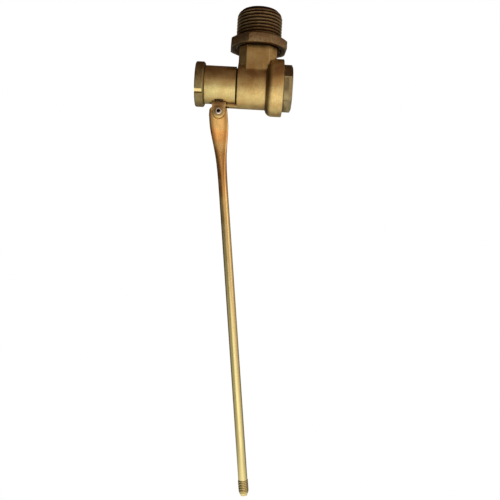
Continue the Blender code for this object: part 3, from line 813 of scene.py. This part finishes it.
def hollows(inlet, sizes):
    """The cutters for the casting's water passages, the fork's gap and the pin's hole."""
    plug_hole, ledge = 16.6 * MM, 9.5 * MM
    web_hole, web_right, web_left = 10.0 * MM, -7.4 * MM, -10.0 * MM
    socket, recess = 12.6 * MM, sizes.joint + 0.4 * MM
    beside, mouth_wide = BARREL_RADIUS + 0.3 * MM, inlet.bore + 0.5 * MM
    bore = turned(
        "body_bore",
        [
            (plug_hole, 30.0 * MM), (plug_hole, ledge), (sizes.chamber, ledge), (sizes.chamber, web_right),
            (web_hole, web_right), (web_hole, web_left), (socket, web_left), (socket, recess),
            (beside, recess), (beside, -60.0 * MM),
        ],
    )
    mouth = turned(
        "mouth",
        [(mouth_wide, 1.0 * MM), (mouth_wide, 0.0), (inlet.bore, -0.5 * MM), (inlet.bore, -31.0 * MM)],
        "Z", INLET_CENTRE, steps=SMALL_STEPS,
    )
    passage = turned(
        "passage", [(9.0 * MM, -30.0 * MM), (9.0 * MM, AXIS_Z)], "Z", Vector((2.0 * MM, 0.0, 0.0)),
        steps=HOLE_STEPS,
    )
    fork = block(
        "fork", (PIVOT.x - 12.0 * MM, -sizes.ear_in, PIVOT.z - 12.0 * MM),
        (PIVOT.x + 7.3 * MM, sizes.ear_in, AXIS_Z),
    )
    return bore, mouth, passage, fork, pin_hole(10.0 * MM)


def casting(inlet, sizes):
    """The whole casting. Its fine thread comes last, since cuts made after it could leave open edges."""
    core, ridge = inlet_thread(inlet)
    shape = turned("valve_casting", bell_outline(sizes))
    join(shape, neck(inlet, sizes), core, *lugs(sizes))
    cut(shape, *hollows(inlet, sizes))
    join(shape, ridge)
    finish_piece(
        shape, "casting", "valve_body", "cast_brass", FINISHES["cast"], FINISHES["neck"], FINISHES["thread"],
        FINISHES["joint_shade"],
    )
    # Near-black painted shade on the casting's left face at the joint.
    paint_faces(
        shape, 3, lambda at, out: abs(at.x - sizes.joint) < 0.3 * MM and from_axis(at) > BARREL_RADIUS
    )
    paint_faces(shape, 1, lambda at, out: at.z > AXIS_Z + 8.0 * MM and skin_gap(at, sizes) > 0.02 * MM)
    paint_faces(shape, 2, lambda at, out: at.z > inlet.neck_top + 0.02 * MM)


# ---- other pieces ----


def backnut(sizes, inlet):
    deselect()
    middle = (nut_low.z + nut_high.z) / 2.0
    bpy.ops.mesh.primitive_cylinder_add(
        vertices=8, radius=sizes.corner, depth=nut_high.z - nut_low.z, location=(0.0, 0.0, middle),
        rotation=(0.0, 0.0, sizes.turn),
    )
    nut = named("octagon_backnut")
    slope = 1.8 * sizes.chamfer
    wide = sizes.corner + 0.1 * MM
    envelope = turned(
        "nut_envelope",
        [
            (wide - 2.0 * slope, nut_high.z + sizes.chamfer), (wide - slope, nut_high.z),
            (wide, nut_high.z - sizes.chamfer), (wide, nut_low.z + 0.5 * MM),
            (wide - 0.9 * MM, nut_low.z - 0.1 * MM), (wide - 2.0 * MM, nut_low.z - 1.0 * MM),
        ],
        "Z", INLET_CENTRE,
    )
    combine(nut, envelope, "INTERSECT")
    clear = inlet.thread_radius + 0.3 * MM
    hole = turned(
        "nut_hole",
        [
            (clear + 0.8 * MM, nut_low.z - 0.4 * MM), (clear, nut_low.z + 0.4 * MM),
            (clear, nut_high.z - 0.4 * MM), (clear + 0.8 * MM, nut_high.z + 0.4 * MM),
        ],
        "Z", INLET_CENTRE,
    )
    cut(nut, hole)
    soft_edges(nut, 0.3 * MM, 22.0)
    finish_piece(nut, "nut", "backnut", "dark_brass", FINISHES["nut"])


def barrel(sizes):
    groove = BARREL_RADIUS - sizes.groove_depth
    socket, lip = 12.3 * MM, -13.9 * MM
    outline = [
        (sizes.bore, barrel_high.x), (socket, barrel_high.x), (socket, lip), (groove, lip),
        (groove, sizes.groove), (BARREL_RADIUS, sizes.groove - 0.15 * MM), (BARREL_RADIUS, sizes.shoulder),
        (sizes.end_radius, sizes.shoulder), (sizes.end_radius, barrel_low.x), (sizes.bore, barrel_low.x),
    ]
    tube = turned("outlet_tube", soften(outline, {5: 0.2 * MM, 6: 0.25 * MM, 8: 0.3 * MM}), solid=False)
    below = AXIS_Z - 20.0 * MM
    slot = block(
        "nose_slot", (PIVOT.x - 7.1 * MM, -2.4 * MM, below), (PIVOT.x + 7.1 * MM, 2.4 * MM, AXIS_Z)
    )
    pocket = block(
        "nose_pocket", (PIVOT.x - 3.3 * MM, -7.0 * MM, below),
        (PIVOT.x + 3.3 * MM, 7.0 * MM, AXIS_Z - 7.5 * MM),
    )
    bevel_edges(slot, upright, 0.8 * MM, 3)
    cut(tube, slot, pocket)
    finish_piece(tube, "casting", "outlet_barrel", "turned_brass", FINISHES["turned"], FINISHES["joint_shade"])
    near = 0.1 * MM
    # Near-black painted shade in the groove beside the casting.
    paint_faces(tube, 1, lambda at, out: at.x > sizes.groove - near and groove - near < from_axis(at))


def end_ring(sizes):
    edge = 0.55 * MM
    inner = sizes.end_radius + 0.3 * MM
    left, right, step = ring_low.x, ring_high.x, barrel_low.x - 0.3 * MM
    flank = right - 0.9 * MM
    outline = [(inner, right), (RING_RADIUS - 0.9 * MM, right), (RING_RADIUS, flank)]
    groove = 0.09 * MM
    tool_marks = 6
    for i in range(tool_marks):
        x = flank - (0.5 + 0.75 * i) * MM
        outline += [(RING_RADIUS, x), (RING_RADIUS - groove, x - 0.12 * MM), (RING_RADIUS, x - 0.24 * MM)]
    outline += [
        (RING_RADIUS, left + edge), (RING_RADIUS - edge, left), (sizes.ring_bore + 0.3 * MM, left),
        (sizes.ring_bore, left + 0.3 * MM), (sizes.ring_bore, step), (inner, step),
    ]
    corners = {1: 0.2 * MM, 2: 0.3 * MM, len(outline) - 6: 0.3 * MM}
    ring = turned("mouth_ring", soften(outline, corners), solid=False)
    half = sizes.notch_width / 2.0
    floor = RING_RADIUS - sizes.notch_depth
    for side in range(2):
        notch = block(
            "notch_%d" % (side + 1), (left - 1.0 * MM, -RING_RADIUS - 2.0 * MM, -half),
            (left + sizes.notch_length, -floor, half),
        )
        for vertex in notch.data.vertices:
            if vertex.co.y < -RING_RADIUS:
                vertex.co.z *= sizes.notch_flare
        cut(ring, settle(notch, (-sizes.notch_angle + side * math.pi, 0.0, 0.0), BODY_CENTRE))
    finish_piece(ring, "casting", "end_ring", "turned_brass", FINISHES["ring"], FINISHES["milled"])
    low, high = floor - 0.2 * MM, RING_RADIUS - 0.3 * MM
    paint_faces(ring, 1, lambda at, out: abs(out.x) < 0.3 and low < from_axis(at) < high)


def hex_plug(sizes):
    deselect()
    end, left, chamfer = plug_high.x, sizes.hexagon_left, sizes.chamfer
    depth = end - left
    lay = Matrix.Rotation(math.radians(90.0), 3, "Y") @ Matrix.Rotation(sizes.turn, 3, "Z")
    bpy.ops.mesh.primitive_cylinder_add(
        vertices=6, radius=sizes.corner, depth=depth, location=(end - depth / 2.0, 0.0, AXIS_Z)
    )
    bpy.context.object.rotation_euler = lay.to_euler()
    hexagon = named("hexagon_plug")
    wide = sizes.corner + 0.1 * MM
    envelope = turned(
        "hexagon_envelope",
        [
            (wide - 4.0 * chamfer, end + chamfer), (wide - 2.0 * chamfer, end), (wide, end - chamfer),
            (wide, left - 1.0 * MM),
        ],
    )
    combine(hexagon, envelope, "INTERSECT")
    soft_edges(hexagon, 0.28 * MM, 20.0)
    shank = turned(
        "plug_shank",
        [
            (sizes.shank, left + 0.4 * MM), (sizes.shank, plug_low.x + 0.5 * MM),
            (sizes.shank - 0.5 * MM, plug_low.x),
        ],
    )
    cup_end = 22.4 * MM
    cup = turned("plug_cup", [(sizes.cup, plug_low.x - 4.0 * MM), (sizes.cup, cup_end)], steps=SMALL_STEPS)
    join(hexagon, shank)
    cut(hexagon, cup)
    finish_piece(hexagon, "casting", "hex_plug", "cast_brass", FINISHES["plug"])


def pivot_pin():
    """A rolled pin with a rounded head on both sides and a hole along its middle."""
    out = pin_high.y
    head_in = out - 0.9 * MM
    head, shank, bore = 2.6 * MM, 2.0 * MM, 1.1 * MM
    outline = [
        (bore, out - 0.25 * MM), (bore + 0.18 * MM, out - 0.05 * MM), (bore + 0.45 * MM, out),
        (bore + 0.8 * MM, out), (head - 0.3 * MM, out - 0.12 * MM), (head - 0.06 * MM, out - 0.35 * MM),
        (head, out - 0.6 * MM), (head - 0.08 * MM, head_in), (shank, head_in),
    ]
    pin = turned("rolled_pin", mirrored(outline), "Y", PIVOT, False, SMALL_STEPS)
    finish_piece(pin, "casting", "pivot_pin", "bright_steel", FINISHES["steel"], FINISHES["bore"])
    # Near-black painted shade on the faces inside the pin's bore.
    paint_faces(
        pin, 1, lambda at, out: math.hypot(at.x - PIVOT.x, at.z - PIVOT.z) < bore + 0.15 * MM
    )


def lever_sections(sizes):
    """(distance below the pin, half width, half thickness, squareness) from the nose's top to the thread."""
    flat = sizes.half_thickness
    stations = []
    nose_steps = 12
    for i in range(nose_steps):
        turn = math.radians(8.0 + i * 12.6)
        stations.append((-sizes.arm - sizes.nose * math.cos(turn), sizes.nose * math.sin(turn), flat, 6.0))
    waist = [
        (-9.0, 2.2), (-7.0, 2.35), (-5.7, 2.75), (-5.2, 3.4), (-4.9, 4.3), (-4.5, 5.2), (-3.9, 5.95),
        (-3.0, 6.4),
    ]
    blade = [
        (-1.5, 6.72), (1.0, 6.88), (4.0, 6.9), (8.0, 6.9), (10.5, 6.82), (13.0, 6.62), (16.0, 6.27),
        (19.0, 5.87), (22.0, 5.45), (25.0, 5.04), (28.0, 4.67), (31.0, 4.34), (34.0, 4.08), (37.0, 3.88),
        (41.0, 3.7), (45.0, 3.56), (50.0, 3.46),
    ]
    for distance, half_width in waist + blade:
        fraction = min(max((distance - 12.0) / 40.0, 0.0), 1.0)
        fraction = fraction * fraction * (3.0 - 2.0 * fraction)
        thick = flat + (sizes.rod - flat) * fraction
        square = 6.0 if distance < -3.5 else 3.6 - 1.6 * fraction
        stations.append((distance * MM, half_width * MM, thick, square))
    for distance in (58.0, 90.0, 130.0, 170.0, 210.0, 250.0):
        stations.append((distance * MM, sizes.rod, sizes.rod, 2.0))
    stations.append((sizes.reach - sizes.thread_length, sizes.rod, sizes.rod, 2.0))
    root = sizes.thread - sizes.thread_depth
    stations.append((sizes.reach - sizes.thread_length + 0.5 * MM, root, root, 2.0))
    stations.append((sizes.reach - sizes.taper + 0.5 * MM, root, root, 2.0))
    stations.append((sizes.reach, sizes.tip - 0.25 * MM, sizes.tip - 0.25 * MM, 2.0))
    return stations


def lever_blank(sizes):
    """The lever without its thread: a loop for each section, drawn out from the nose to the tip."""
    down = Vector((math.sin(sizes.tilt), 0.0, -math.cos(sizes.tilt)))
    up = Vector((-math.sin(sizes.lean), 0.0, math.cos(sizes.lean)))
    deselect()
    bpy.ops.mesh.primitive_circle_add(vertices=ROD_STEPS, radius=sizes.rod, fill_type="NGON", location=PIVOT)
    obj = named("hanging_lever")
    edit(obj)
    for index, (distance, half_width, half_thickness, squareness) in enumerate(lever_sections(sizes)):
        if index:
            bpy.ops.mesh.extrude_region_move()
        if distance < 0.0:
            facing = -(-down).lerp(up, min(1.0, -distance / (4.0 * MM))).normalized()
            middle = up * -distance
        else:
            facing, middle = down, down * distance + Vector((sizes.aside, 0.0, 0.0))
        side = Vector((-facing.z, 0.0, facing.x))
        shape = bmesh.from_edit_mesh(obj.data)
        cap = [face for face in shape.faces if face.select][0]
        for k, vertex in enumerate(loop.vert for loop in cap.loops):
            turn = 2.0 * math.pi * k / ROD_STEPS
            c, s = math.cos(turn), math.sin(turn)
            across = half_width * math.copysign(abs(c) ** (2.0 / squareness), c)
            through = half_thickness * math.copysign(abs(s) ** (2.0 / squareness), s)
            vertex.co = PIVOT + middle + side * across + Vector((0.0, through, 0.0))
        bmesh.update_edit_mesh(obj.data)
    leave_edit()
    return close_up(obj)


def lever(sizes):
    shape = lever_blank(sizes)
    reach, crest = sizes.reach, sizes.thread
    start = reach - sizes.thread_length
    root = crest - sizes.thread_depth
    pitch, width = 1.27 * MM, 1.12 * MM
    ridge = helix("rod_ridge", root, crest, pitch, -reach - 0.3 * MM, -start, width, ROD_STEPS)
    trim = turned(
        "rod_trim",
        [
            (sizes.tip, -reach), (crest, -reach + sizes.taper), (crest, -start - 0.5 * MM), (root, -start),
        ],
        "Z", INLET_CENTRE, steps=ROD_STEPS,
    )
    combine(ridge, trim, "INTERSECT")
    settle(ridge, (0.0, -sizes.tilt, 0.0), PIVOT + Vector((sizes.aside, 0.0, 0.0)))
    join(shape, ridge)
    cut(shape, pin_hole(9.0 * MM))
    finish_piece(shape, "lever", "float_lever", "lever_brass", FINISHES["lever"])


def inner_finishes():
    """Dress the CAD pieces that are seen only through the openings."""
    rubber = soft_stuff("black_rubber", (0.018, 0.018, 0.019), (0.035, 0.034, 0.033), 0.7, 400.0)
    fibre = soft_stuff("red_fibre", (0.28, 0.06, 0.04), (0.42, 0.12, 0.07), 0.85, 500.0)
    dress = {"seat_washer": rubber, "plug_gasket": fibre, "seat_gasket": fibre}
    for name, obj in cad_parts.items():
        obj.data.materials.clear()
        obj.data.materials.append(dress.get(name, FINISHES["inside"]))


# ---- stage ----


class StageSettings(bpy.types.PropertyGroup):
    lens: bpy.props.FloatProperty(name="Lens", description="Focal length", default=42.48, unit="CAMERA")
    roll: angle("Roll", 3.06, "Lean of the camera about its own line of sight")
    distance: length("Distance", 435.9, "Camera's distance in front of the valve's middle")
    height: length("Height", -174.88, "Camera's height")
    aside: length("Aside", 1.744, "Camera's place to the right of the inlet")
    drop: length("Floor drop", 200.0, "How far the floor lies below the lever's tip")
    key: amount("Key light", 0.12, "Power of the low front light")
    fill: amount("Fill light", 0.36, "Power of the right fill")
    blade: amount("Blade light", 0.017, "Power of the small front panel")
    room: amount("Room", 1.0, "Strength of the room's light")
    glow: amount("Floor glow", 1.08, "Strength of the lit floor")


def panel_light(name, place, target, width, height, power, tint):
    light = bpy.data.lights.new(name, "AREA")
    light.shape = "RECTANGLE"
    light.size, light.size_y = width, height
    light.energy = power
    light.color = tint
    obj = bpy.data.objects.new(name, light)
    bpy.context.scene.collection.objects.link(obj)
    obj.location = place
    obj.rotation_euler = (Vector(target) - Vector(place)).to_track_quat("-Z", "Y").to_euler()
    obj.visible_camera = False


# (height from 0 straight down to 1 straight up, colour)
SKY = (
    (0.00, (0.60, 0.54, 0.47)), (0.06, (1.05, 1.10, 0.98)), (0.25, (1.05, 1.04, 0.86)),
    (0.42, (0.72, 0.60, 0.45)), (0.515, (0.58, 0.44, 0.33)), (0.60, (0.66, 0.48, 0.34)),
    (0.65, (0.27, 0.20, 0.15)), (0.78, (0.25, 0.16, 0.115)), (0.95, (0.13, 0.068, 0.045)),
)


def lit_unseen(tree, kind, tone, strength, output):
    """Plain white for the camera, and a tone of some strength for all other rays."""
    lit = node(tree, kind, None, {"Color": tone, "Strength": strength})
    white = node(tree, kind, None, {"Color": (1.0, 1.0, 1.0, 1.0), "Strength": 1.0})
    seen = node(tree, "LightPath").outputs["Is Camera Ray"]
    mixed = node(tree, "MixShader", None, {0: seen, 1: lit.outputs[0], 2: white.outputs[0]})
    node(tree, output, None, {0: mixed.outputs[0]})


def world_light(settings):
    """White behind the valve for the camera. Its reflections show a room that is bright low in front."""
    world = bpy.data.worlds.new("studio")
    bpy.context.scene.world = world
    world.use_nodes = True
    tree = world.node_tree
    tree.nodes.clear()
    where = node(tree, "TexCoord").outputs["Generated"]
    parts = axes(tree, where)
    height = remap(tree, parts[2], -1.0, 1.0, smooth=False)
    ramp = node(tree, "ValToRGB", None, {"Fac": height})
    stops = ramp.color_ramp.elements
    for index, (place, tone) in enumerate(SKY):
        stop = stops.new(place) if index else stops[0]
        stop.color = (*tone, 1.0)
    stops.remove(stops[-1])
    aside = remap(tree, parts[0], -0.75, 0.0, 0.16, 1.0)
    behind = remap(tree, parts[1], -0.1, 0.6, 1.0, 0.4)
    value = times(tree, times(tree, aside, behind), settings.room)
    lit_unseen(tree, "Background", ramp.outputs[0], value, "OutputWorld")


def floor(settings):
    """A pale floor below the valve, brightly lit in front of it and fading to the left and behind."""
    deselect()
    bpy.ops.mesh.primitive_plane_add(size=6.0, location=(0.0, 0.0, lever_low.z - settings.drop))
    plane = named("floor")
    material, tree, where = new_material("pale_floor", True)
    parts = axes(tree, where)
    pale = blend(tree, noise(tree, where, 30.0, 3.0), (1.0, 0.99, 0.84), (1.0, 1.0, 0.88))
    near = remap(tree, parts[1], -0.20, 0.55, 1.05, 0.25)
    far = remap(tree, parts[1], -2.6, -0.5, 0.7, 1.0)
    left = remap(tree, parts[0], -0.6, 0.0, 0.35, 1.0)
    right = remap(tree, parts[0], 0.1, 0.6, 1.0, 0.55)
    depth = times(tree, times(tree, near, far), settings.glow)
    lit_unseen(tree, "Emission", pale, times(tree, depth, times(tree, left, right)), "OutputMaterial")
    plane.data.materials.append(material)


def camera(settings):
    data = bpy.data.cameras.new("view")
    data.lens = settings.lens
    data.sensor_width = 36.0
    data.clip_start, data.clip_end = 0.01, 20.0
    obj = bpy.data.objects.new("view", data)
    bpy.context.scene.collection.objects.link(obj)
    look = Matrix.Rotation(math.radians(90.0), 4, "X") @ Matrix.Rotation(settings.roll, 4, "Z")
    obj.matrix_world = Matrix.Translation((settings.aside, -settings.distance, settings.height)) @ look
    bpy.context.scene.camera = obj


# ---- operators ----


class VALVE_OT_finishes(bpy.types.Operator):
    """Make the valve's metals and seals"""
    bl_idname = "valve.finishes"
    bl_label = "Finishes"

    def execute(self, context):
        make_finishes(context.scene)
        return {"FINISHED"}


class VALVE_OT_casting(bpy.types.Operator):
    """Model the casting: threaded inlet, neck, body, bell and ears"""
    bl_idname = "valve.casting"
    bl_label = "Casting"

    def execute(self, context):
        casting(context.scene.valve_inlet, context.scene.valve_body)
        return {"FINISHED"}


class VALVE_OT_backnut(bpy.types.Operator):
    """Model the octagonal backnut"""
    bl_idname = "valve.backnut"
    bl_label = "Backnut"

    def execute(self, context):
        backnut(context.scene.valve_nut, context.scene.valve_inlet)
        return {"FINISHED"}


class VALVE_OT_barrel(bpy.types.Operator):
    """Model the outlet barrel and its notched end ring"""
    bl_idname = "valve.barrel"
    bl_label = "Barrel and ring"

    def execute(self, context):
        barrel(context.scene.valve_barrel)
        end_ring(context.scene.valve_barrel)
        return {"FINISHED"}


class VALVE_OT_plug(bpy.types.Operator):
    """Model the hexagon plug"""
    bl_idname = "valve.plug"
    bl_label = "Hexagon plug"

    def execute(self, context):
        hex_plug(context.scene.valve_plug)
        return {"FINISHED"}


class VALVE_OT_pin(bpy.types.Operator):
    """Model the rolled steel pin"""
    bl_idname = "valve.pin"
    bl_label = "Pin"

    def execute(self, context):
        pivot_pin()
        return {"FINISHED"}


class VALVE_OT_lever(bpy.types.Operator):
    """Model the lever with its blade, rod and threaded tip"""
    bl_idname = "valve.lever"
    bl_label = "Lever"

    def execute(self, context):
        lever(context.scene.valve_lever)
        return {"FINISHED"}


class VALVE_OT_inside(bpy.types.Operator):
    """Dress the pieces inside the body"""
    bl_idname = "valve.inside"
    bl_label = "Inner pieces"

    def execute(self, context):
        inner_finishes()
        return {"FINISHED"}


class VALVE_OT_stage(bpy.types.Operator):
    """Set the floor, the lights and the camera"""
    bl_idname = "valve.stage"
    bl_label = "Stage"

    def execute(self, context):
        settings = context.scene.valve_stage
        middle = (0.0, 0.0, AXIS_Z)
        rod_top, blade = (0.0, 0.0, -0.12), (-0.026, 0.0, -0.085)
        panel_light("low_key", (0.06, -0.26, -0.30), rod_top, 0.40, 0.20, settings.key, (1.0, 0.98, 0.88))
        panel_light("right_fill", (0.55, -0.35, 0.05), middle, 0.3, 0.5, settings.fill, (1.0, 0.93, 0.82))
        panel_light("blade_light", (-0.055, -0.5, 0.035), blade, 0.12, 0.05, settings.blade, (1.0, 0.93, 0.8))
        world_light(settings)
        floor(settings)
        camera(settings)
        context.scene.view_settings.view_transform = "Standard"
        return {"FINISHED"}


OPERATORS = (
    VALVE_OT_finishes, VALVE_OT_casting, VALVE_OT_backnut, VALVE_OT_barrel, VALVE_OT_plug, VALVE_OT_pin,
    VALVE_OT_lever, VALVE_OT_inside, VALVE_OT_stage,
)
SETTINGS = {
    "valve_inlet": InletSizes, "valve_body": BodySizes, "valve_barrel": BarrelSizes,
    "valve_plug": PlugSizes, "valve_nut": NutSizes, "valve_lever": LeverSizes,
    "valve_colours": FinishColours, "valve_stage": StageSettings,
}


class VALVE_PT_panel(bpy.types.Panel):
    """The float valve's pieces and their sizes"""
    bl_idname = "VALVE_PT_panel"
    bl_label = "Float valve"
    bl_space_type = "VIEW_3D"
    bl_region_type = "UI"
    bl_category = "Float valve"

    def draw(self, context):
        for operator in OPERATORS:
            self.layout.operator(operator.bl_idname)
        for name, group in SETTINGS.items():
            box = self.layout.box()
            for setting in group.__annotations__:
                box.prop(getattr(context.scene, name), setting)


def register():
    for cls in (*SETTINGS.values(), *OPERATORS, VALVE_PT_panel):
        bpy.utils.register_class(cls)
    for name, group in SETTINGS.items():
        setattr(bpy.types.Scene, name, bpy.props.PointerProperty(type=group))


def unregister():
    for name in SETTINGS:
        delattr(bpy.types.Scene, name)
    for cls in reversed((*SETTINGS.values(), *OPERATORS, VALVE_PT_panel)):
        bpy.utils.unregister_class(cls)


def main():
    register()
    for operator in OPERATORS:
        family, name = operator.bl_idname.split(".")
        getattr(getattr(bpy.ops, family), name)()


if __name__ == "__main__":
    main()
